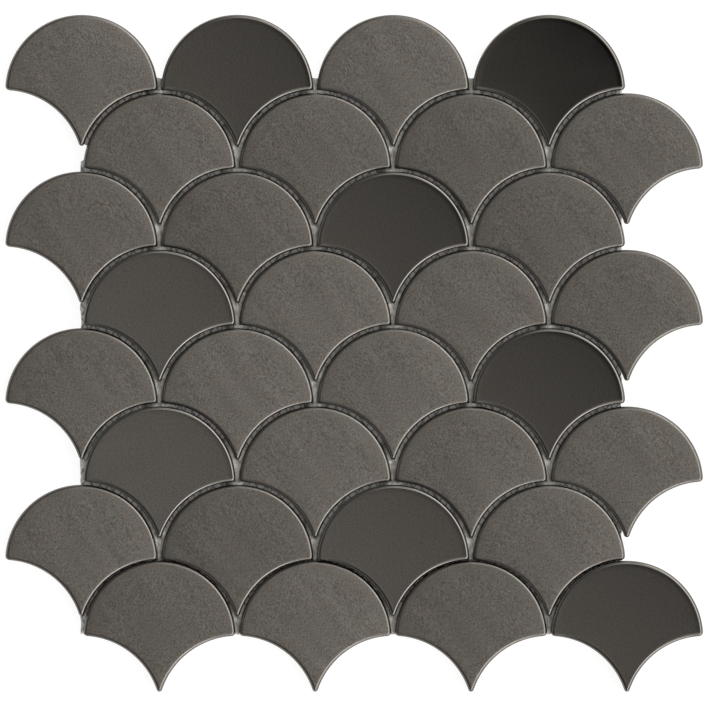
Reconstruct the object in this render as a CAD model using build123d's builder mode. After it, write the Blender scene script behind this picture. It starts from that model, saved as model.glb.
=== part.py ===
from build123d import *
import os
from math import sqrt

# Sheet of fan-shaped metal mosaic chips bonded to an open-weave backing

# Layout of the sheet, in millimetres. Rows run down the sheet, columns across it, both counted from 0.
columns = 4
rows = 8
column_pitch = 76.2
joint = 1.6
row_slack = 0.2  # rows lie this much further apart than half the column pitch
last_row_shift = 1.15  # the bottom row was laid this much tighter than the others

# One chip
chip_height = 7.5
tip_width = 1.9  # the tip is cut blunt, which stands for a tip rounded to 1.3 mm
corner_cut = 1.2  # stands for a side corner rounded to 2 mm
rim_width = 1.0
rim_drop = 1.2

# Backing, cut square into teeth that stay hidden under the outermost chips
mesh_thickness = 0.5
left_strip = 0.6  # how far the left cut passes outside the middle of the row 0 chip
right_strip = 2.45  # how far the right cut stays inside the middle of the last row 1 chip
top_cut = 6.7  # above the middle of the top row
bottom_cut = 1.3  # above the middle of the bottom row
side_tooth_reach = 26.0
side_tooth_low = 4.0
side_tooth_high = 25.0
top_tooth_width = 48.0
tail_tooth_width = 16.0
tail_tooth_depth = 12.0

# Adhesive squeezed up in each upright slit between two chips of a row
adhesive_height = 4.0
adhesive_gap = 0.15  # stays this far from the chips
adhesive_arm = 2.6

# Chips with a polished face, as (row, column). The others are brushed.
polished_places = {(0, 1), (0, 3), (2, 2), (3, 0), (4, 3), (5, 0), (6, 2), (7, 3)}

# The fan fits its neighbours: its round back and its two hollow flanks lie one joint apart
fan_radius = (column_pitch - joint) / 2
hollow_radius = fan_radius + joint
half_pitch = column_pitch / 2
row_pitch = half_pitch + row_slack
tip_length = row_pitch - sqrt(hollow_radius**2 - (half_pitch - tip_width / 2) ** 2)

sheet_width = (columns - 0.5) * column_pitch + 2 * fan_radius
sheet_height = fan_radius + (rows - 1) * row_pitch - last_row_shift + tip_length


def row_middle(row):
    """Height on the sheet of the circle centres of one row."""
    drop = row * row_pitch
    if row == rows - 1:
        drop -= last_row_shift
    return sheet_height / 2 - fan_radius - drop


def chip_middle(row, column):
    """Centre of a chip's round back. Every second row is set half a pitch to the right."""
    shift = half_pitch * (row % 2)
    return -sheet_width / 2 + fan_radius + shift + column * column_pitch, row_middle(row)


places = [(row, column) for row in range(rows) for column in range(columns)]
polished = [chip_middle(*place) for place in places if place in polished_places]
brushed = [chip_middle(*place) for place in places if place not in polished_places]

# One chip, standing on the backing: a circle cut by the circles of its two lower neighbours
with BuildPart() as chip:
    with BuildSketch(Plane.XY.offset(mesh_thickness)) as fan:
        Circle(fan_radius)
        with Locations((-half_pitch, -row_pitch), (half_pitch, -row_pitch)):
            Circle(hollow_radius, mode=Mode.SUBTRACT)
        chamfer(fan.vertices().sort_by(Axis.Y)[-2:], corner_cut)
        split(bisect_by=Plane.XZ.offset(tip_length), keep=Keep.BOTTOM)
    extrude(amount=chip_height)
    face = chip.faces().sort_by(Axis.Z)[-1]
    chamfer(face.edges(), length=rim_width, length2=rim_drop, reference=face)

with BuildPart() as brushed_chips:
    with Locations(*brushed):
        add(chip.part)

with BuildPart() as polished_chips:
    with Locations(*polished):
        add(chip.part)

# Backing
left_cut = chip_middle(0, 0)[0] - left_strip
right_cut = chip_middle(1, columns - 1)[0] - right_strip
top = row_middle(0) + top_cut
bottom = row_middle(rows - 1) + bottom_cut
side_tooth_height = side_tooth_high - side_tooth_low
side_tooth_middle = (side_tooth_high + side_tooth_low) / 2

with BuildPart() as mesh_backing:
    with BuildSketch() as cut:
        with Locations(((left_cut + right_cut) / 2, (top + bottom) / 2)):
            Rectangle(right_cut - left_cut, top - bottom)
        for row in range(rows):
            if row % 2 == 0:
                x, y = chip_middle(row, 0)
                inner, outer = left_cut, x - side_tooth_reach
            else:
                x, y = chip_middle(row, columns - 1)
                inner, outer = right_cut, x + side_tooth_reach
            with Locations(((inner + outer) / 2, y + side_tooth_middle)):
                Rectangle(abs(outer - inner), side_tooth_height)
        for column in range(columns):
            x, y = chip_middle(0, column)
            with Locations((x, y + (side_tooth_high + top_cut) / 2)):
                Rectangle(top_tooth_width, side_tooth_high - top_cut)
            x, y = chip_middle(rows - 1, column)
            with Locations((x, y + (bottom_cut - tail_tooth_depth) / 2)):
                Rectangle(tail_tooth_width, bottom_cut + tail_tooth_depth)
    extrude(amount=mesh_thickness)


def half_slit(height):
    """Half the width of the slit between two chips of a row, at a height from their centres."""
    return half_pitch - sqrt(fan_radius**2 - height**2) - adhesive_gap


def slit_outline(row):
    """Outline of the adhesive in a slit, with a foot in the joint where the row below leaves one."""
    if row == 0:
        reach = top_cut
    else:
        reach = row_middle(row - 1) - tip_length - row_middle(row) - adhesive_gap
    corner = hollow_radius - row_pitch - 2 * adhesive_gap
    if row == rows - 1:
        foot = bottom_cut
    else:
        foot = row_middle(row + 1) + fan_radius - row_middle(row) + adhesive_gap
    low = max(corner, foot)
    middle = (reach + low) / 2
    right = [(half_slit(height), height) for height in (reach, middle, low)]
    if foot < corner - adhesive_gap:
        right += [(adhesive_arm, corner - adhesive_gap), (adhesive_arm, foot)]
    left = [(-x, y) for x, y in reversed(right)]
    return right + left


with BuildPart() as adhesive:
    for row in range(rows):
        for column in range(columns - 1):
            x, y = chip_middle(row, column)
            with BuildSketch(Plane((x + half_pitch, y, mesh_thickness))):
                Polygon(*slit_outline(row), align=None)
            extrude(amount=adhesive_height)

os.makedirs("parts", exist_ok=True)
for name, piece in {
    "brushed_chips": brushed_chips,
    "polished_chips": polished_chips,
    "mesh_backing": mesh_backing,
    "adhesive": adhesive,
}.items():
    piece.part.label = name
    export_step(piece.part, f"parts/{name}.step")
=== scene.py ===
from math import cos, radians, sin

import bpy
import numpy as np
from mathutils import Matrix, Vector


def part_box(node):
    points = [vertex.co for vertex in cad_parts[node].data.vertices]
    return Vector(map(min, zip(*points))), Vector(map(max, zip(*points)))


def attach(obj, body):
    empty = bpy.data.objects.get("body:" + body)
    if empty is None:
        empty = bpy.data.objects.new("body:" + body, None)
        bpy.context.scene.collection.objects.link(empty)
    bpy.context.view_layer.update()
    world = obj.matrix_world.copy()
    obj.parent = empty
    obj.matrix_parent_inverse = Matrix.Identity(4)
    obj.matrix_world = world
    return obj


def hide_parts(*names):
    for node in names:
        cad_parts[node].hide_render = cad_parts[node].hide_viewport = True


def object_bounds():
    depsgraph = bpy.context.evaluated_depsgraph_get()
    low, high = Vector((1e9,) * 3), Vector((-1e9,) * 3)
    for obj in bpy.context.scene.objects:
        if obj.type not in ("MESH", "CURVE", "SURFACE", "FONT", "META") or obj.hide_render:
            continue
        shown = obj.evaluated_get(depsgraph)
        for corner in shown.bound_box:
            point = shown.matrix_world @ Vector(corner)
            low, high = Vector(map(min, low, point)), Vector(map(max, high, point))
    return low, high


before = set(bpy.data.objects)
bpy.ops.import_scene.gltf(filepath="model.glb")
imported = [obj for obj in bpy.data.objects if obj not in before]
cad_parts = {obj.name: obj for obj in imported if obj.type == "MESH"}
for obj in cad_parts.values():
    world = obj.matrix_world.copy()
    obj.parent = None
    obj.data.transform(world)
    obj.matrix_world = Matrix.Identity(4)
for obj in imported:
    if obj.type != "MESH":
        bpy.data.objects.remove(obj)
cadBox = [list(corner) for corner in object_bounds()]
mm = 0.001  # shapes are worked out in millimetres, Blender holds metres
dice = np.random.default_rng(5)

# The lay of the sheet: four fans a row, eight rows, every second row half a pitch to the right
layout = {
    "columns": 4,
    "rows": 8,
    "columnPitch": 76.2,
    "joint": 1.6,
    "rowSlack": 0.2,  # rows lie this much more than half a pitch apart
    "lastRowShift": 1.15,  # the bottom row was laid this much closer
    "polishedPlaces": {(0, 1), (0, 3), (2, 2), (3, 0), (4, 3), (5, 0), (6, 2), (7, 3)},
}
halfPitch = layout["columnPitch"] / 2
fanRadius = halfPitch - layout["joint"] / 2
hollowRadius = fanRadius + layout["joint"]
rowPitch = halfPitch + layout["rowSlack"]
lastRow = layout["rows"] - 1
chipLow, chipTop = (corner.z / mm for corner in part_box("brushed_chips"))
sheetLeft, sheetTop = cadBox[0][0] / mm, cadBox[1][1] / mm


def rowMiddle(row):
    # height on the sheet of the circle centres of one row
    drop = row * rowPitch - (layout["lastRowShift"] if row == lastRow else 0)
    return sheetTop - fanRadius - drop


def chipMiddle(row, column):
    # centre of a fan's round back
    shift = halfPitch * (row % 2)
    return sheetLeft + fanRadius + shift + column * layout["columnPitch"], rowMiddle(row)


places = [(row, column) for row in range(layout["rows"]) for column in range(layout["columns"])]

# Meshes


def makePiece(name, points, faceSets, material, values=None):
    # points in millimetres and sets of triangles or quads become one smooth mesh, with the point values
    # as its attributes
    mesh = bpy.data.meshes.new(name)
    corners = np.concatenate([faces.ravel() for faces in faceSets])
    sides = np.concatenate([np.full(len(faces), faces.shape[1]) for faces in faceSets])
    starts = np.concatenate([[0], np.cumsum(sides)[:-1]])
    mesh.vertices.add(len(points))
    mesh.vertices.foreach_set("co", (points * mm).astype(np.float32).ravel())
    mesh.loops.add(len(corners))
    mesh.loops.foreach_set("vertex_index", corners.astype(np.int32))
    mesh.polygons.add(len(sides))
    mesh.polygons.foreach_set("loop_start", starts.astype(np.int32))
    mesh.update(calc_edges=True)
    mesh.polygons.foreach_set("use_smooth", np.ones(len(sides), bool))
    for label, numbers in (values or {}).items():
        layer = mesh.attributes.new(label, "FLOAT", "POINT")
        layer.data.foreach_set("value", numbers.astype(np.float32))
    mesh.materials.append(material)
    piece = bpy.data.objects.new(name, mesh)
    bpy.context.scene.collection.objects.link(piece)
    print(f"{name}: {len(points)} points, {int((sides - 2).sum())} triangles")
    return piece


def ringFaces(rings, around):
    # quads between neighbouring rings of a grid whose rings are closed
    ring, step = np.meshgrid(np.arange(rings - 1), np.arange(around), indexing="ij")
    ahead = (step + 1) % around
    faces = np.stack([ring * around + step, ring * around + ahead,
                      (ring + 1) * around + ahead, (ring + 1) * around + step], -1)
    return faces.reshape(-1, 4)


def capFaces(rings, around):
    # triangles that close the first and the last ring onto the two points that follow the grid
    step = np.arange(around)
    ahead = (step + 1) % around
    first, last = rings * around, (rings - 1) * around
    return np.concatenate([
        np.stack([np.full(around, first), ahead, step], -1),
        np.stack([np.full(around, first + 1), last + step, last + ahead], -1),
    ])


def repeatAt(points, faceSets, middles):
    # the same shape at every middle, as one set of arrays
    moved = points[None] + np.pad(np.array(middles), ((0, 0), (0, 1)))[:, None]
    shift = (np.arange(len(middles)) * len(points))[:, None, None]
    shifted = [(faces[None] + shift).reshape(-1, faces.shape[1]) for faces in faceSets]
    return moved.reshape(-1, 3), shifted


# Shader nodes


def addNode(tree, kind, inputs=None, **settings):
    # one node with its options, each input fed with a value or with another node's output
    made = tree.nodes.new(kind)
    for option, value in settings.items():
        setattr(made, option, value)
    for slot, value in (inputs or {}).items():
        if isinstance(value, bpy.types.NodeSocket):
            tree.links.new(value, made.inputs[slot])
        else:
            made.inputs[slot].default_value = value
    return made


def maths(tree, operation, *values, clamp=False):
    # one Math node over one, two or three values
    node = addNode(tree, "ShaderNodeMath", dict(enumerate(values)), operation=operation, use_clamp=clamp)
    return node.outputs[0]


def newMaterial(name, **constants):
    # a Principled material, its tree and its shader, with the values that are the same all over
    material = bpy.data.materials.new(name)
    material.use_nodes = True
    shader = material.node_tree.nodes["Principled BSDF"]
    for slot, value in constants.items():
        shader.inputs[slot].default_value = value
    return material, material.node_tree, shader


def noiseOn(tree, size, turn=0.0, detail=2.0, shift=(0, 0, 0), rough=0.55):
    # noise on Object coordinates whose features measure size in metres, turned about Z
    place = addNode(tree, "ShaderNodeTexCoord").outputs["Object"]
    mapping = {"Vector": place, "Location": shift, "Rotation": (0, 0, turn), "Scale": size}
    mapped = addNode(tree, "ShaderNodeMapping", mapping, vector_type="TEXTURE").outputs[0]
    noise = {"Vector": mapped, "Scale": 1.0, "Detail": detail, "Roughness": rough}
    return addNode(tree, "ShaderNodeTexNoise", noise).outputs[0]


def spread(tree, value, low, high, toLow, toHigh):
    # the range low to high stretched onto toLow to toHigh
    ranges = {"Value": value, "From Min": low, "From Max": high, "To Min": toLow, "To Max": toHigh}
    return addNode(tree, "ShaderNodeMapRange", ranges).outputs[0]


def blendColour(tree, factor, first, second, how="MIX"):
    # two colours, each a value or a node's output, mixed by a factor
    colours = {0: factor, 6: first, 7: second}
    return addNode(tree, "ShaderNodeMix", colours, data_type="RGBA", blend_type=how).outputs[2]


def attribute(tree, name):
    # a value that the mesh carries point by point
    return addNode(tree, "ShaderNodeAttribute", attribute_name=name).outputs["Fac"]


def bumpFrom(tree, shader, pattern, strength, distance):
    # light falls on the surface as if the pattern raised it by the distance, in metres
    bump = addNode(tree, "ShaderNodeBump", {"Height": pattern, "Strength": strength, "Distance": distance})
    tree.links.new(bump.outputs[0], shader.inputs["Normal"])


def patchyMaterial(name, look, **constants):
    # two colours in soft patches, with a bump from the same pattern where the look has one
    material, tree, shader = newMaterial(name, Roughness=look["roughness"], **constants)
    patch = noiseOn(tree, look["patchSize"], look["patchTurn"], look["patchDetail"])
    share = spread(tree, patch, *look["patchRange"], 0, 1)
    tree.links.new(blendColour(tree, share, look["dark"], look["light"]), shader.inputs["Base Color"])
    if "bump" in look:
        bumpFrom(tree, shader, patch, *look["bump"])
    return material


# Fan-shaped chips

chip = {
    "cornerRadius": 2.1,
    "tipRadius": 1.35,
    "leastRadius": 0.02,  # corners never get sharper than this further in
    "rollWidth": 1.85,  # the pressed rim turns down over this width
    "rollDrop": 1.8,
    "rollRings": 13,
    "faceRings": 11,
    "ringCrowding": 0.7,  # below 1 the rings lie closer together towards the rim
    "hub": (0.0, 1.5),  # every rim point is seen from here
    "brushedCrown": (0.95, 0.35),  # how far the dome and the shoulder fall
    "polishedCrown": (0.08, 0.04),
    "shoulderReach": 6.0,
    "shoulderBlend": 2.5,
    "footInset": 0.3,
    "footBend": 0.3,  # where the ring halfway round the foot lies, as a share of the inset
    "underInset": 1.0,
    "backSteps": 37,
    "cornerSteps": 6,
    "hollowSteps": 25,
    "tipSteps": 5,
}
wallMark = 2.0  # the rim attribute is 0 on the face, 1 at the end of the roll and this on the walls


def arcPoints(centre, radius, start, end, count):
    # centre plus radius times (cos a, sin a), a running evenly from start to just before end
    angle = start[:, None] + (end - start)[:, None] * np.arange(count) / count
    return centre[:, None] + radius[:, None, None] * np.stack([np.cos(angle), np.sin(angle)], -1)


def directionOf(vector):
    # the angle whose tangent is y over x
    return np.arctan2(vector[..., 1], vector[..., 0])


def fanOutline(inset):
    # Clockwise outline of a fan for every inset from its edge. The back is an arc of the fan's radius less
    # the inset, each flank an arc of the hollow radius plus the inset, and corners and tip are small arcs
    # that touch both of their neighbours, which fixes their centres as where two circles cross.
    inset = np.asarray(inset, float)
    zero = np.zeros(len(inset))
    back, hollow = fanRadius - inset, hollowRadius + inset
    corner = np.maximum(chip["cornerRadius"] - inset, chip["leastRadius"])
    tip = np.maximum(chip["tipRadius"] - inset, chip["leastRadius"])
    top = np.zeros((len(inset), 2))
    flank = np.tile([halfPitch, -rowPitch], (len(inset), 1))
    reach = np.hypot(halfPitch, rowPitch)
    along = ((back - corner) ** 2 - (hollow + corner) ** 2 + reach**2) / (2 * reach)
    across = np.sqrt((back - corner) ** 2 - along**2)
    cornerMiddle = (along[:, None] * np.array([halfPitch, -rowPitch])
                    + across[:, None] * np.array([rowPitch, halfPitch])) / reach
    tipMiddle = np.stack([zero, np.sqrt((hollow + tip) ** 2 - halfPitch**2) - rowPitch], -1)
    quarter = np.full(len(inset), np.pi / 2)
    toCorner, cornerToFlank = directionOf(cornerMiddle), directionOf(flank - cornerMiddle)
    flankToCorner, flankToTip = directionOf(cornerMiddle - flank), directionOf(tipMiddle - flank)
    right = np.concatenate([
        arcPoints(top, back, quarter, toCorner, chip["backSteps"]),
        arcPoints(cornerMiddle, corner, toCorner, cornerToFlank, chip["cornerSteps"]),
        arcPoints(flank, hollow, flankToCorner, flankToTip, chip["hollowSteps"]),
        arcPoints(tipMiddle, tip, directionOf(flank - tipMiddle), -quarter, chip["tipSteps"]),
        (tipMiddle - np.stack([zero, tip], -1))[:, None],
    ], 1)
    left = right[:, -2:0:-1] * [-1, 1]
    return np.concatenate([right, left], 1)


def crownHeight(x, y, crown):
    # Height of the face: the top, less a shallow dome that falls with the square of the distance from the
    # middle, less a shoulder that falls off exponentially from the nearest edge. The nearest of the three
    # circle edges is a soft minimum of their distances.
    edges = np.stack([
        fanRadius - np.hypot(x, y),
        np.hypot(x - halfPitch, y + rowPitch) - hollowRadius,
        np.hypot(x + halfPitch, y + rowPitch) - hollowRadius,
    ])
    blend = chip["shoulderBlend"]
    edge = -blend * np.log(np.exp(-edges / blend).sum(0))
    dome, shoulder = crown
    domed = chipTop - dome * (x**2 + y**2) / fanRadius**2
    return domed - shoulder * np.exp(-edge / chip["shoulderReach"])


def chipShell(crown):
    # A closed shell of rings: the face grows from the hub to the roll, the roll turns down a quarter of an
    # ellipse, the wall drops to the foot, and the underside closes at its own hub.
    share = np.linspace(0, 1, chip["faceRings"] + 1)[1:-1] ** chip["ringCrowding"]
    hub = np.array(chip["hub"])
    turn = np.linspace(0, np.pi / 2, chip["rollRings"])
    roll = fanOutline(chip["rollWidth"] * (1 - np.sin(turn)))
    face = hub + share[:, None, None] * (roll[:1] - hub)
    flat = np.concatenate([face, roll])
    drop = np.concatenate([np.zeros(len(share)), chip["rollDrop"] * (1 - np.cos(turn))])
    upper = crownHeight(flat[..., 0], flat[..., 1], crown) - drop[:, None]
    foot = chip["footInset"]
    bend = chip["footBend"] * foot
    wall = fanOutline([0, 0, bend, foot, foot + chip["underInset"]])
    lower = chipLow + np.array([2 * foot, foot, bend, 0, 0])
    outline = np.concatenate([flat, wall])
    height = np.concatenate([upper, np.tile(lower[:, None], (1, wall.shape[1]))])
    rings, around = outline.shape[:2]
    hubs = [[*hub, float(crownHeight(*hub, crown))], [*hub, chipLow]]
    points = np.concatenate([np.concatenate([outline, height[..., None]], -1).reshape(-1, 3), hubs])
    mark = np.concatenate([np.zeros(len(share)), turn / (np.pi / 2), np.full(len(lower), wallMark)])
    rim = np.concatenate([np.repeat(mark, around), [0, 1]])
    return points, [ringFaces(rings, around), capFaces(rings, around)], rim


def makeChips(name, middles, crown, material):
    # one shell at every middle, each chip with a tone of its own
    points, faceSets, rim = chipShell(crown)
    points, faceSets = repeatAt(points, faceSets, middles)
    values = {
        "rim": np.tile(rim, len(middles)),
        "tone": np.repeat(dice.uniform(-1, 1, len(middles)), len(rim)),
    }
    return makePiece(name, points, faceSets, material, values)


steel = {
    # painted shade: the rim's steel is coloured darker where it stands steep
    "steepPaintedShade": (0.178, 0.167, 0.151, 1),
    "steepPaintedShadeFrom": (0.40, 0.54),
    # painted light: the walls are coloured lighter than the steel so that they throw more light down into
    # the joints
    "skirtPaintedLight": (0.40, 0.385, 0.365, 1),
    "skirtPaintedLightFrom": (1.1, 1.4),
    "edgeTint": (0.62, 0.60, 0.57, 1),  # how much of the mirroring is left at low angles
}


def rimmed(tree, look, colour):
    # bare steel where the rim starts to roll over, a painted shade that darkens it where it stands steep,
    # and painted light down the skirt, whose walls are coloured lighter than the steel so that they throw
    # more light down into the joints
    turn = attribute(tree, "rim")
    colour = blendColour(tree, spread(tree, turn, *look["bareFrom"], 0, 1), colour, look["bare"])
    # painted shade on the steep part of the rim
    colour = blendColour(tree, spread(tree, turn, *steel["steepPaintedShadeFrom"], 0, 1), colour, steel["steepPaintedShade"])
    # painted light on the walls, lighter than the steel to brighten the joints below
    return blendColour(tree, spread(tree, turn, *steel["skirtPaintedLightFrom"], 0, 1), colour, steel["skirtPaintedLight"])


brushedLook = {
    "dark": (0.081, 0.0737, 0.0660, 1),
    "light": (0.238, 0.2205, 0.2007, 1),
    "grainTurn": radians(-52),
    "grainSize": (0.0011, 0.0002, 0.001),
    "grainDetail": 1.5,
    "grainRange": (0.34, 0.66),
    "grainBump": (0.12, 0.0001),
    "warm": (1.023, 0.994, 0.977, 1),
    "cool": (0.981, 1.010, 1.006, 1),
    "patchSize": (0.0075, 0.0017, 0.003),
    "patchDetail": 1.0,
    "patchShift": (0.7, 0.2, 0),
    "patchRange": (0.38, 0.62),
    "cloudSize": (0.040, 0.0065, 0.01),
    "cloudDetail": 2.0,
    "cloudShift": (0.3, 0.1, 0),
    "cloudRange": (0.3, 0.7),
    "cloudShade": (0.92, 1.08),
    "toneShade": (0.90, 1.10),  # from the darkest chip to the lightest
    "bare": (0.187, 0.177, 0.163, 1),
    "bareFrom": (0.08, 0.22),
    "roughness": (0.46, 0.26),  # on the face and on the rim
    "smoothFrom": (0.02, 0.2),
}


def brushedMaterial():
    # light and dark grain along a diagonal of the sheet, warm and cool patches, and long soft clouds
    look = brushedLook
    material, tree, shader = newMaterial("brushedSteel", Metallic=1.0)
    shader.inputs["Specular Tint"].default_value = steel["edgeTint"]
    turn = look["grainTurn"]
    grain = noiseOn(tree, look["grainSize"], turn, look["grainDetail"])
    cloud = noiseOn(tree, look["cloudSize"], turn, look["cloudDetail"], look["cloudShift"])
    patch = noiseOn(tree, look["patchSize"], turn, look["patchDetail"], look["patchShift"])
    colour = blendColour(tree, spread(tree, grain, *look["grainRange"], 0, 1), look["dark"], look["light"])
    tint = blendColour(tree, spread(tree, patch, *look["patchRange"], 0, 1), look["warm"], look["cool"])
    colour = blendColour(tree, 1.0, colour, tint, "MULTIPLY")
    clouds = spread(tree, cloud, *look["cloudRange"], *look["cloudShade"])
    tone = spread(tree, attribute(tree, "tone"), -1, 1, *look["toneShade"])
    colour = blendColour(tree, 1.0, colour, maths(tree, "MULTIPLY", clouds, tone), "MULTIPLY")
    tree.links.new(rimmed(tree, look, colour), shader.inputs["Base Color"])
    rough = spread(tree, attribute(tree, "rim"), *look["smoothFrom"], *look["roughness"])
    tree.links.new(rough, shader.inputs["Roughness"])
    bumpFrom(tree, shader, grain, *look["grainBump"])
    return material


polishedLook = {
    "colour": (0.0845, 0.0786, 0.0712, 1),
    "speck": (0.05, 0.046, 0.042, 1),
    "speckSize": 0.0042,
    "speckRadius": (0.04, 0.13),  # as shares of the size
    "speckChance": (0.55, 0.60),  # only cells whose random value is above this hold a speck
    "hazeSize": (0.0009, 0.0005, 0.001),
    "hazeTurn": radians(20),
    "hazeDetail": 2.0,
    "hazeRange": (0.35, 0.65),
    "hazeShade": (0.77, 1.23),
    "smearSize": (0.03, 0.012, 0.01),
    "smearDetail": 4.0,
    "smearRange": (0.3, 0.7),
    "bare": (0.19, 0.180, 0.166, 1),
    "bareFrom": (0.10, 0.24),
    "roughness": (0.07, 0.14),  # over the smears
}


def polishedMaterial():
    # a mirror with fine haze and smears, and small dark specks in a few of a pattern's cells
    look = polishedLook
    material, tree, shader = newMaterial("polishedSteel", Metallic=1.0)
    shader.inputs["Specular Tint"].default_value = steel["edgeTint"]
    place = addNode(tree, "ShaderNodeTexCoord").outputs["Object"]
    cells = addNode(tree, "ShaderNodeTexVoronoi", {"Vector": place, "Scale": 1 / look["speckSize"]})
    near = spread(tree, cells.outputs["Distance"], *look["speckRadius"], 1, 0)
    chosen = spread(tree, cells.outputs["Color"], *look["speckChance"], 0, 1)
    haze = noiseOn(tree, look["hazeSize"], look["hazeTurn"], look["hazeDetail"])
    shade = spread(tree, haze, *look["hazeRange"], *look["hazeShade"])
    colour = blendColour(tree, 1.0, look["colour"], shade, "MULTIPLY")
    colour = blendColour(tree, maths(tree, "MULTIPLY", near, chosen), colour, look["speck"])
    tree.links.new(rimmed(tree, look, colour), shader.inputs["Base Color"])
    smear = noiseOn(tree, look["smearSize"], look["hazeTurn"], look["smearDetail"])
    rough = spread(tree, smear, *look["smearRange"], *look["roughness"])
    tree.links.new(rough, shader.inputs["Roughness"])
    return material


brushedMiddles = [chipMiddle(*place) for place in places if place not in layout["polishedPlaces"]]
polishedMiddles = [chipMiddle(*place) for place in places if place in layout["polishedPlaces"]]
brushedChips = makeChips("brushedChips", brushedMiddles, chip["brushedCrown"], brushedMaterial())
polishedChips = makeChips("polishedChips", polishedMiddles, chip["polishedCrown"], polishedMaterial())

# Backing: a film of adhesive with a diamond net bedded in it

film = {
    "leftStrip": 0.6,
    "rightStrip": 2.45,
    "topCut": 6.7,
    "bottomCut": 1.3,
    "sideToothReach": 26.0,
    "toothLow": 4.0,
    "toothHigh": 25.0,
    "topToothWidth": 48.0,
    "tailToothWidth": 16.0,
    "tailToothDepth": 12.0,
    "low": 0.08,
    "thickness": 0.16,
    "cell": 1.9,
    "edgeCell": 1.0,
    "ragged": 0.35,
    "ripple": 0.04,
    "rippleLengths": (2.3, 3.1, 9),
    "notchFrom": 26.1,  # a bite out of the left edge below the top left chip
    "notchTo": 33.9,
    "notchDepth": 3.4,
    "notchEase": (1, 0.55, 0.1),  # how far the grid's next columns give way with the edge
}
leftCut = chipMiddle(0, 0)[0] - film["leftStrip"]
rightCut = chipMiddle(1, layout["columns"] - 1)[0] - film["rightStrip"]
topCut = rowMiddle(0) + film["topCut"]
bottomCut = rowMiddle(lastRow) + film["bottomCut"]
# for each side, where a rectangle holds its low end, its high end and its far edge, and which way is out
cutSides = {"left": (1, 3, 0, -1), "right": (1, 3, 2, 1), "bottom": (0, 2, 1, -1), "top": (0, 2, 3, 1)}


def toothRectangles():
    # the plain rectangle of the backing and the teeth under the outermost chips, as x, y, x, y
    found = [(leftCut, bottomCut, rightCut, topCut)]
    for row in range(layout["rows"]):
        low, high = rowMiddle(row) + film["toothLow"], rowMiddle(row) + film["toothHigh"]
        if row % 2 == 0:
            found.append((chipMiddle(row, 0)[0] - film["sideToothReach"], low, leftCut, high))
        else:
            right = chipMiddle(row, layout["columns"] - 1)[0] + film["sideToothReach"]
            found.append((rightCut, low, right, high))
    for column in range(layout["columns"]):
        x, y = chipMiddle(0, column)
        half = film["topToothWidth"] / 2
        found.append((x - half, topCut, x + half, y + film["toothHigh"]))
        x, y = chipMiddle(lastRow, column)
        half = film["tailToothWidth"] / 2
        found.append((x - half, y - film["tailToothDepth"], x + half, bottomCut))
    return np.array(found)


backing = toothRectangles()


def pushed(lines, edge, side):
    # how far each grid line's end reaches: the ragged cut, or the far side of a tooth that it runs through
    lowAt, highAt, reachAt, outward = cutSides[side]
    beyond = (backing[:, reachAt] - edge) * outward
    inside = (lines[:, None] > backing[:, lowAt]) & (lines[:, None] < backing[:, highAt]) & (beyond > 0)
    out = np.where(inside, beyond, 0).max(1)
    worn = dice.uniform(-1, 1, len(lines)) * film["ragged"]
    return edge + outward * (out + np.where(out > 0, 0, worn))


def notched(lines):
    # how far the left edge steps back at each height
    below = rowMiddle(0) - lines
    return np.where((below > film["notchFrom"]) & (below < film["notchTo"]), film["notchDepth"], 0)


def makeFilm(material):
    # A grid over the cut rectangle whose outer lines are pushed out into the teeth, ragged where they show
    # and stepped back at the bite. Its ripple is the product of two sine waves. Solidify thickens it.
    inner = film["edgeCell"]
    columns = int((rightCut - leftCut) / film["cell"])
    rows = int((topCut - bottomCut) / film["cell"])
    x = np.linspace(leftCut + inner, rightCut - inner, columns)
    y = np.linspace(bottomCut + inner, topCut - inner, rows)
    gridX = np.tile(np.concatenate([[x[0]], x, [x[-1]]]), (rows + 2, 1))
    gridY = np.tile(np.concatenate([[y[0]], y, [y[-1]]])[:, None], (1, columns + 2))
    gridX[1:-1, 0] = pushed(y, leftCut, "left") + notched(y)
    gridX[1:-1, 1:1 + len(film["notchEase"])] += notched(y)[:, None] * film["notchEase"]
    gridX[1:-1, -1] = pushed(y, rightCut, "right")
    gridY[0, 1:-1] = pushed(x, bottomCut, "bottom")
    gridY[-1, 1:-1] = pushed(x, topCut, "top")
    gridX[[0, -1], 0], gridX[[0, -1], -1] = leftCut, rightCut
    gridY[0, [0, -1]], gridY[-1, [0, -1]] = bottomCut, topCut
    lengthX, lengthY, drift = film["rippleLengths"]
    ripple = np.sin(gridX / lengthX) * np.sin(gridY / lengthY + gridX / drift)
    height = film["low"] + film["ripple"] * (1 + ripple) / 2
    points = np.stack([gridX, gridY, height], -1).reshape(-1, 3)
    across = columns + 2
    row, column = np.meshgrid(np.arange(rows + 1), np.arange(columns + 1), indexing="ij")
    start = row * across + column
    faces = np.stack([start, start + 1, start + across + 1, start + across], -1).reshape(-1, 4)
    piece = makePiece("meshFilm", points, [faces], material)
    thick = piece.modifiers.new("thickness", "SOLIDIFY")
    thick.thickness, thick.offset = film["thickness"] * mm, 1
    return piece


net = {
    "pitch": 3.57,
    "risingTurn": radians(56.3),
    "fallingTurn": radians(-57.7),
    "width": 0.62,
    "thick": 0.12,
    "middle": 0.34,
    "wave": 0.08,
}


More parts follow.
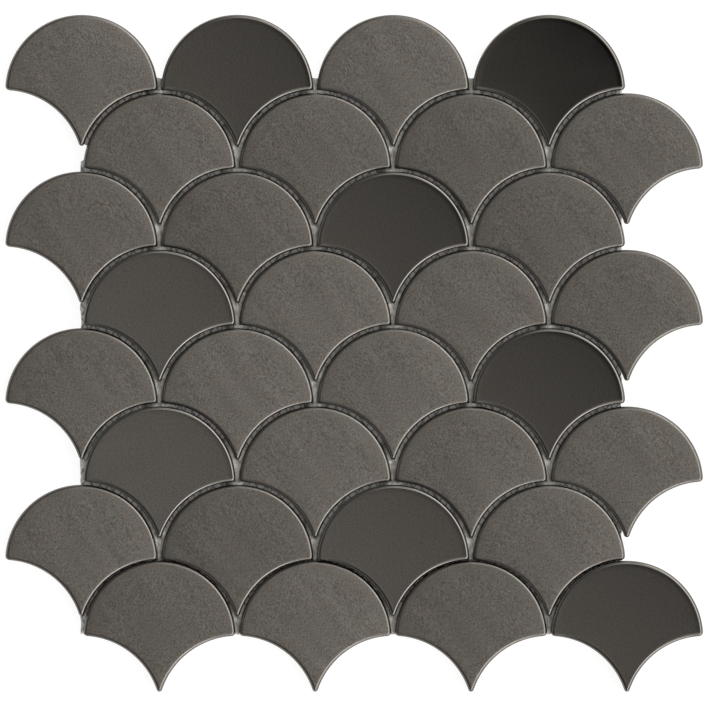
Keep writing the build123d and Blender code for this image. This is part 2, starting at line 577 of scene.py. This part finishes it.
def strandRuns(turn, otherTurn):
    # The threads of one direction lie one pitch apart. Each is cut where it leaves a rectangle of the
    # backing or runs through the bite, and its points are where it crosses a thread of the other direction
    # and halfway between.
    along = np.array([cos(turn), sin(turn)])
    normal = np.array([-sin(turn), cos(turn)])
    otherNormal = np.array([-sin(otherTurn), cos(otherTurn)])
    step = net["pitch"] / abs(along @ otherNormal) / 2
    for x0, y0, x1, y1 in backing:
        corners = np.array([[x0, y0], [x1, y0], [x1, y1], [x0, y1]]) @ normal / net["pitch"]
        for index in range(int(np.ceil(corners.min())), int(np.floor(corners.max())) + 1):
            start = index * net["pitch"] * normal
            fromSides = (np.array([x0, x1]) - start[0]) / along[0]
            fromEnds = (np.array([y0, y1]) - start[1]) / along[1]
            slab = np.sort(np.stack([fromSides, fromEnds]), 1)
            enter, leave = slab[:, 0].max(), slab[:, 1].min()
            phase = (start @ otherNormal) / net["pitch"]
            turns = np.arange(np.ceil(enter / step), np.floor(leave / step) + 1)
            path = start + (turns * step)[:, None] * along
            turns = turns[path[:, 0] > leftCut + notched(path[:, 1])]
            for part in np.split(turns, np.flatnonzero(np.diff(turns) > 1) + 1):
                if len(part) < 2:
                    continue
                spot = part * step
                crossing = phase + spot * (along @ otherNormal) / net["pitch"]
                rise = net["middle"] + net["wave"] * np.cos(np.pi * (crossing + index))
                yield start + spot[:, None] * along, rise, normal


def makeNet(name, turn, otherTurn, material):
    # Every thread is a flat four-sided band carried along its run, rising over one crossing and dipping
    # under the next as a cosine, with its ends closed.
    pointSets, quadSets, count = [], [], 0
    for path, rise, normal in strandRuns(turn, otherTurn):
        side, lift = normal * net["width"] / 2, net["thick"] / 2
        section = [(-1, -1), (1, -1), (1, 1), (-1, 1)]
        ring = np.stack([np.column_stack([path + a * side, rise + b * lift]) for a, b in section], 1)
        pointSets.append(ring.reshape(-1, 3))
        ends = np.array([[0, 3, 2, 1], (len(path) - 1) * 4 + np.array([0, 1, 2, 3])])
        quadSets.append(np.concatenate([ringFaces(len(path), 4), ends]) + count)
        count += len(path) * 4
    return makePiece(name, np.concatenate(pointSets), [np.concatenate(quadSets)], material)


filmLook = {
    "dark": (0.76, 0.755, 0.735, 1),
    "light": (0.96, 0.955, 0.935, 1),
    "patchSize": (0.0030, 0.0022, 0.003),
    "patchTurn": 0.5,
    "patchDetail": 3.0,
    "patchRange": (0.35, 0.65),
    "bump": (0.4, 0.0002),
    "roughness": 0.4,
}
strandLook = {
    "dark": (0.27, 0.27, 0.26, 1),
    "light": (0.42, 0.42, 0.405, 1),
    "patchSize": (0.004, 0.0008, 0.002),
    "patchTurn": net["risingTurn"],
    "patchDetail": 2.0,
    "patchRange": (0.3, 0.7),
    "roughness": 0.6,
}

meshFilm = makeFilm(patchyMaterial("meshFilm", filmLook))
strands = patchyMaterial("meshStrand", strandLook)
risingStrands = makeNet("risingStrands", net["risingTurn"], net["fallingTurn"], strands)
fallingStrands = makeNet("fallingStrands", net["fallingTurn"], net["risingTurn"], strands)

# Adhesive squeezed up between the chips

glue = {
    "gap": 0.03,
    "low": 0.45,
    "top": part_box("adhesive")[1].z / mm,
    "levelSpread": 0.4,
    "leastDepth": 0.02,
    "leastRise": 0.1,  # arms and feet end this much above the underside
    "acrossSteps": 9,
    "stemSteps": 26,
    "sag": 0.9,
    "fullSagHalf": 1.2,  # the slit's half width from which on the surface sags fully
    "pinchHeight": 1.6,  # below this the slit keeps its width
    "stemFall": 1.0,
    "endLength": 0.5,
    "endLeast": 0.15,
    "endDrop": 0.4,
    "topMargin": 0.4,
    "swing": 0.2,
    "swingDepth": 0.6,
    "swingTurn": 1.3,
    "swingLength": 3,
    "swingPhase": 20,
    "armSteps": 14,
    "armReach": (12.0, 8.0),  # up the left and the right side of the tip above
    "armSpread": (0.6, 1.15),
    "armOverlap": 1.0,
    "armDrop": 0.15,
    "armEase": 0.7,
    "armSag": 0.45,
    "footSteps": 24,
    "footReach": 6.8,
    "footSpread": (0.75, 1.15),
    "footLevel": 4.4,
    "footLevelSpread": (-0.4, 0.3),
    "footEase": 0.9,
    "footSag": 0.5,
}
jointMiddle = fanRadius + layout["joint"] / 2
jointHalf = layout["joint"] / 2 - glue["gap"]


def makeBead(path, side, halfWidth, top, sag):
    # A bead carried along a path. Its section is a hanging parabola between the walls, closed underneath.
    across = np.linspace(-1, 1, glue["acrossSteps"])
    flat = path[:, None] + side[:, None] * (halfWidth[:, None] * across)[..., None]
    height = top[:, None] - sag[:, None] * (1 - across**2)
    upper = np.concatenate([flat, height[..., None]], -1)
    lower = upper[:, [-1, 0]].copy()
    lower[..., 2] = np.minimum(glue["low"], lower[..., 2] - glue["leastDepth"])
    ring = np.concatenate([upper, lower], 1)
    rings, around = ring.shape[:2]
    points = np.concatenate([ring.reshape(-1, 3), np.stack([ring[0].mean(0), ring[-1].mean(0)])])
    return points, ringFaces(rings, around), capFaces(rings, around)


def tipLength():
    # how far a fan reaches below its circle's centre
    return -fanOutline([0.0])[0, :, 1].min()


def stemBead(foot, reach, level):
    # The slit between two chips of a row. Its half width is the half pitch less the circle's half chord,
    # and its surface falls as a square towards the foot, with three sine waves on it.
    height = np.linspace(foot, reach, glue["stemSteps"])
    swing = dice.uniform(-glue["swing"], glue["swing"], 3)
    rate = glue["swingTurn"] * height / glue["swingLength"]
    wave = sum(a * np.sin((n + 1) * rate + a * glue["swingPhase"]) for n, a in enumerate(swing))
    chord = np.sqrt(fanRadius**2 - np.maximum(height, glue["pinchHeight"]) ** 2)
    half = halfPitch - chord - glue["gap"]
    ends = np.clip(np.minimum(height - foot, reach - height) / glue["endLength"], glue["endLeast"], 1)
    path = np.stack([np.zeros(len(height)), height], -1)
    side = np.tile([-1.0, 0.0], (len(height), 1))
    rise = (height - foot) / (reach - foot)
    fallen = level - glue["stemFall"] * (1 - rise) ** 2
    top = fallen + glue["swingDepth"] * wave - glue["endDrop"] * (1 - ends)
    return makeBead(path, side, half, top, glue["sag"] * np.minimum(1, half / glue["fullSagHalf"]))


def armBead(reach, level, hand):
    # the joint beside the tip of the chip above: an arc about the neighbour, falling to the film as a
    # cosine
    length = glue["armReach"][0 if hand == 1 else 1] * dice.uniform(*glue["armSpread"])
    height = np.linspace(reach - glue["armOverlap"], reach + length, glue["armSteps"])
    angle = np.arcsin(height / jointMiddle)
    radial = np.stack([np.cos(angle), np.sin(angle)], -1)
    path = (jointMiddle * radial - [halfPitch, 0]) * [hand, 1]
    share = np.clip((height - height[0]) / (height[-1] - height[0]), 0, 1)
    fall = np.cos(share * np.pi / 2) ** glue["armEase"]
    top = glue["low"] + glue["leastRise"] + (level - glue["armDrop"] - glue["low"]) * fall
    half = np.full(len(height), jointHalf)
    return makeBead(path, radial * [hand, 1] * -hand, half, top, glue["armSag"] * (1 - share))


def footBead(row, level):
    # the joint over the chip below: an arc about that chip, highest under the slit, falling as a cosine
    turn = np.linspace(-1, 1, glue["footSteps"])
    angle = np.pi / 2 - turn * glue["footReach"] * dice.uniform(*glue["footSpread"]) / fanRadius
    radial = np.stack([np.cos(angle), np.sin(angle)], -1)
    path = radial * jointMiddle + [0, rowMiddle(row + 1) - rowMiddle(row)]
    fall = np.cos(turn * np.pi / 2)
    top = glue["low"] + glue["leastRise"] + (level - glue["low"]) * fall ** glue["footEase"]
    return makeBead(path, radial, np.full(len(turn), jointHalf), top, glue["footSag"] * fall)


def slitBeads(row):
    # a stem, an arm up each side of the tip above, and a foot along the chip below
    level = glue["top"] - dice.uniform(0.0, glue["levelSpread"])
    if row == lastRow:
        foot = film["bottomCut"]
    else:
        foot = rowMiddle(row + 1) + fanRadius - rowMiddle(row) + glue["gap"]
    if row == 0:
        beads = [stemBead(foot, film["topCut"] - glue["topMargin"], level)]
    else:
        reach = rowMiddle(row - 1) - tipLength() - rowMiddle(row) - glue["gap"]
        beads = [stemBead(foot, reach, level), armBead(reach, level, 1), armBead(reach, level, -1)]
    if row < lastRow - 1:
        beads.append(footBead(row, glue["footLevel"] + dice.uniform(*glue["footLevelSpread"])))
    return beads


def makeAdhesive(material):
    # the beads of every slit, joined
    pointSets, quadSets, capSets, count = [], [], [], 0
    for row in range(layout["rows"]):
        for column in range(layout["columns"] - 1):
            x, y = chipMiddle(row, column)
            for points, quads, caps in slitBeads(row):
                pointSets.append(points + [x + halfPitch, y, 0])
                quadSets.append(quads + count)
                capSets.append(caps + count)
                count += len(points)
    faceSets = [np.concatenate(quadSets), np.concatenate(capSets)]
    return makePiece("squeezedAdhesive", np.concatenate(pointSets), faceSets, material)


glueLook = {
    "dark": (0.27, 0.266, 0.243, 1),
    "light": (0.59, 0.582, 0.540, 1),
    "patchSize": (0.0018, 0.0030, 0.002),
    "patchTurn": 0.0,
    "patchDetail": 2.0,
    "patchRange": (0.35, 0.65),
    "bump": (0.35, 0.0004),
    "roughness": 0.16,
}

squeezedAdhesive = makeAdhesive(patchyMaterial("adhesive", glueLook, IOR=1.5))

for piece, node, slotName in (
    (brushedChips, "brushed_chips", "brushed_steel"),
    (polishedChips, "polished_chips", "polished_steel"),
    (meshFilm, "mesh_backing", "mesh"),
    (risingStrands, "mesh_backing", "mesh"),
    (fallingStrands, "mesh_backing", "mesh"),
    (squeezedAdhesive, "adhesive", "adhesive"),
):
    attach(piece, "root")
    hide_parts(node)
print("pieces ride on the sheet")

# Studio

studio = {
    "floorReach": 7.0,
    "floorCore": (0.3, 1),  # the two innermost rings
    "floorRingsFrom": 2,
    "floorRings": 24,
    "floorAround": 96,
    "floorBend": 5,  # the paper turns up from here
    "floorRim": 1.2,
    "floorDrop": 0.0002,
    "floorColour": (0.93, 0.93, 0.93, 1),
    "floorRoughness": 0.9,
    "floorShine": 0.1,
    "floorGlow": 0.88,  # the share of the white background that no shadow takes away
    "floorVeil": (0.22, 0.22, 0.22, 1),
    "cameraHeight": 3.5,
    "cameraFar": 50,
    "viewWidth": 0.3464,
    "viewMiddle": (0.00020, -0.00055),
    "scrimHeight": 3.2,
    "scrimReach": 1.9,
    "scrimDepth": 0.38,  # how much light the scrim holds back over its middle
    "scrimFall": (1.19, 0.88),  # and how much more to the right and to the top, a metre
    "scrimLocal": 0.75,
    "scrimFade": (0.7, 1.75),
    # light by the angle from straight up: dark to the left, strongest a little to the right
    "sky": [(-90, 0.26), (-60, 0.24), (-42, 0.16), (-30, 0.16), (-20, 0.27), (-10, 0.80), (0, 1.3),
            (10, 1.66), (20, 1.50), (30, 0.9), (66, 0.4), (90, 0.25)],
    "skyTop": 2.0,  # the curve holds shares of this
    "keyStrength": 3.7,
    "keyFrom": (39.0, 44.0),
    "keyTo": (61.0, 66.0),
    "keyWaist": 0.68,  # the strip's strength where it crosses the sheet's middle line
    "keyEnds": 1.18,  # and towards its ends
    "keyEndsAt": 0.5,  # the square of the way's share along the sheet's height
    "keyLower": 1.15,  # the strip's gain beyond the sheet's bottom
    "keyLowerFrom": (-0.6, -0.1),
    "tiltFrom": (-0.25, 0.25),  # the way's share along the sheet's height, and the light there
    "tiltTo": (0.72, 1.22),
    "fadeFrom": (0.42, 0.8),  # and it fades again low in the sky beyond the sheet's top
    "fadeTo": 0.5,
    "lightColour": (1, 0.985, 0.965, 1),
}


def floorMaterial():
    # plain paper, which glows for the camera and for what mirrors or lets through, with its shadow kept
    material, tree, shader = newMaterial("floorPaper", Roughness=studio["floorRoughness"])
    shader.inputs["Base Color"].default_value = studio["floorColour"]
    shader.inputs["Specular IOR Level"].default_value = studio["floorShine"]
    rays = addNode(tree, "ShaderNodeLightPath").outputs
    seen = maths(tree, "ADD", rays["Is Camera Ray"], rays["Is Glossy Ray"])
    seen = maths(tree, "ADD", seen, rays["Is Transmission Ray"], clamp=True)
    glow = addNode(tree, "ShaderNodeEmission", {"Strength": studio["floorGlow"]}).outputs[0]
    veil = addNode(tree, "ShaderNodeBsdfDiffuse", {"Color": studio["floorVeil"]}).outputs[0]
    white = addNode(tree, "ShaderNodeAddShader", {0: glow, 1: veil}).outputs[0]
    both = addNode(tree, "ShaderNodeMixShader", {0: seen, 1: shader.outputs[0], 2: white}).outputs[0]
    tree.links.new(both, tree.nodes["Material Output"].inputs["Surface"])
    return material


def makeFloor():
    # A disc that turns up at its edge as a square, so that low views still end on it: a profile turned
    # about Z.
    reach, bend, around = studio["floorReach"], studio["floorBend"], studio["floorAround"]
    outer = np.linspace(studio["floorRingsFrom"], reach, studio["floorRings"])
    radius = np.concatenate([studio["floorCore"], outer])
    lift = studio["floorRim"] * np.clip((radius - bend) / (reach - bend), 0, 1) ** 2 - studio["floorDrop"]
    angle = np.linspace(0, 2 * np.pi, around, endpoint=False)
    ring = np.stack([radius[:, None] * np.cos(angle), radius[:, None] * np.sin(angle),
                     np.tile(lift[:, None], (1, around))], -1).reshape(-1, 3)
    points = np.concatenate([ring, [[0, 0, lift[0]]]]) / mm
    step = np.arange(around)
    cap = np.stack([np.full(around, len(ring)), step, (step + 1) % around], -1)
    return makePiece("floor", points, [ringFaces(len(radius), around)[:, ::-1], cap], floorMaterial())


def scrimMaterial():
    # The share of light held back is the depth plus a slope that dies away as a bell, all of it faded out
    # towards the screen's edge.
    material = bpy.data.materials.new("scrim")
    material.use_nodes = True
    tree = material.node_tree
    tree.nodes.clear()
    place = addNode(tree, "ShaderNodeTexCoord").outputs["Object"]
    level = {0: place, 1: (1, 1, 0)}
    flat = addNode(tree, "ShaderNodeVectorMath", level, operation="MULTIPLY").outputs[0]
    downhill = {0: flat, 1: (*studio["scrimFall"], 0)}
    slope = addNode(tree, "ShaderNodeVectorMath", downhill, operation="DOT_PRODUCT").outputs["Value"]
    away = addNode(tree, "ShaderNodeVectorMath", {0: flat}, operation="LENGTH").outputs["Value"]
    square = maths(tree, "MULTIPLY", away, away)
    local = maths(tree, "EXPONENT", maths(tree, "MULTIPLY", square, -0.5 / studio["scrimLocal"] ** 2))
    held = maths(tree, "MULTIPLY_ADD", slope, local, studio["scrimDepth"])
    held = maths(tree, "MULTIPLY", held, spread(tree, away, *studio["scrimFade"], 1, 0))
    through = maths(tree, "SUBTRACT", 1.0, held, clamp=True)
    veil = addNode(tree, "ShaderNodeBsdfTransparent", {"Color": through}).outputs[0]
    addNode(tree, "ShaderNodeOutputMaterial", {"Surface": veil})
    return material


def makeScrim():
    # a square overhead screen that the camera doesn't see
    reach, height = studio["scrimReach"], studio["scrimHeight"]
    points = np.array([[-reach, -reach, height], [reach, -reach, height],
                       [reach, reach, height], [-reach, reach, height]]) / mm
    piece = makePiece("scrim", points, [np.array([[0, 3, 2, 1]])], scrimMaterial())
    piece.visible_camera = False
    return piece


def skyLight(tree, angle, height):
    # light by the angle from straight up, times a fall from the sheet's top to its bottom
    along = spread(tree, angle, -np.pi / 2, np.pi / 2, 0, 1)
    node = addNode(tree, "ShaderNodeFloatCurve", {"Value": along})
    curve = node.mapping.curves[0]
    node.mapping.use_clip = False
    spots = [((degrees + 90) / 180, light / studio["skyTop"]) for degrees, light in studio["sky"]]
    curve.points[0].location, curve.points[1].location = spots[:2]
    for spot in spots[2:]:
        curve.points.new(*spot)
    node.mapping.update()
    light = maths(tree, "MULTIPLY", node.outputs[0], studio["skyTop"])
    tilt = spread(tree, height, *studio["tiltFrom"], *studio["tiltTo"])
    fade = spread(tree, height, *studio["fadeFrom"], 1, studio["fadeTo"])
    return maths(tree, "MULTIPLY", light, maths(tree, "MULTIPLY", tilt, fade))


def stripLight(tree, angle, height):
    # a strip with soft edges over one range of angles, weakest at the sheet's middle line
    degrees = maths(tree, "MULTIPLY", angle, 180 / np.pi)
    rise = spread(tree, degrees, *studio["keyFrom"], 0, 1)
    fall = spread(tree, degrees, *studio["keyTo"], 1, 0)
    square = maths(tree, "MULTIPLY", height, height)
    waist = spread(tree, square, 0, studio["keyEndsAt"], studio["keyWaist"], studio["keyEnds"])
    lower = spread(tree, height, *studio["keyLowerFrom"], studio["keyLower"], 1)
    strip = maths(tree, "MULTIPLY", maths(tree, "MULTIPLY", rise, fall), waist)
    return maths(tree, "MULTIPLY", strip, lower)


def makeWorld():
    # the sky, and a long bright strip to the right that runs the way of the sheet's height
    world = bpy.data.worlds.new("studio")
    bpy.context.scene.world = world
    world.use_nodes = True
    tree = world.node_tree
    tree.nodes.clear()
    way = addNode(tree, "ShaderNodeTexCoord").outputs["Generated"]
    part = addNode(tree, "ShaderNodeSeparateXYZ", {0: way}).outputs
    angle = maths(tree, "ARCTAN2", part["X"], part["Z"])
    sky = skyLight(tree, angle, part["Y"])
    total = maths(tree, "MULTIPLY_ADD", stripLight(tree, angle, part["Y"]), studio["keyStrength"], sky)
    ground = addNode(tree, "ShaderNodeBackground", {"Color": studio["lightColour"], "Strength": total})
    addNode(tree, "ShaderNodeOutputWorld", {"Surface": ground.outputs[0]})


def makeCamera():
    # straight above the sheet with a long lens, as wide as the photograph's frame at the chips' faces
    camera = bpy.data.cameras.new("camera")
    holder = bpy.data.objects.new("camera", camera)
    bpy.context.scene.collection.objects.link(holder)
    distance = studio["cameraHeight"] - chipTop * mm
    camera.lens = camera.sensor_width * distance / studio["viewWidth"]
    camera.clip_end = studio["cameraFar"]
    holder.location = (*studio["viewMiddle"], studio["cameraHeight"])
    bpy.context.scene.camera = holder


makeFloor()
makeScrim()
makeWorld()
makeCamera()
bpy.context.scene.view_settings.view_transform = "Standard"
print("studio is set")
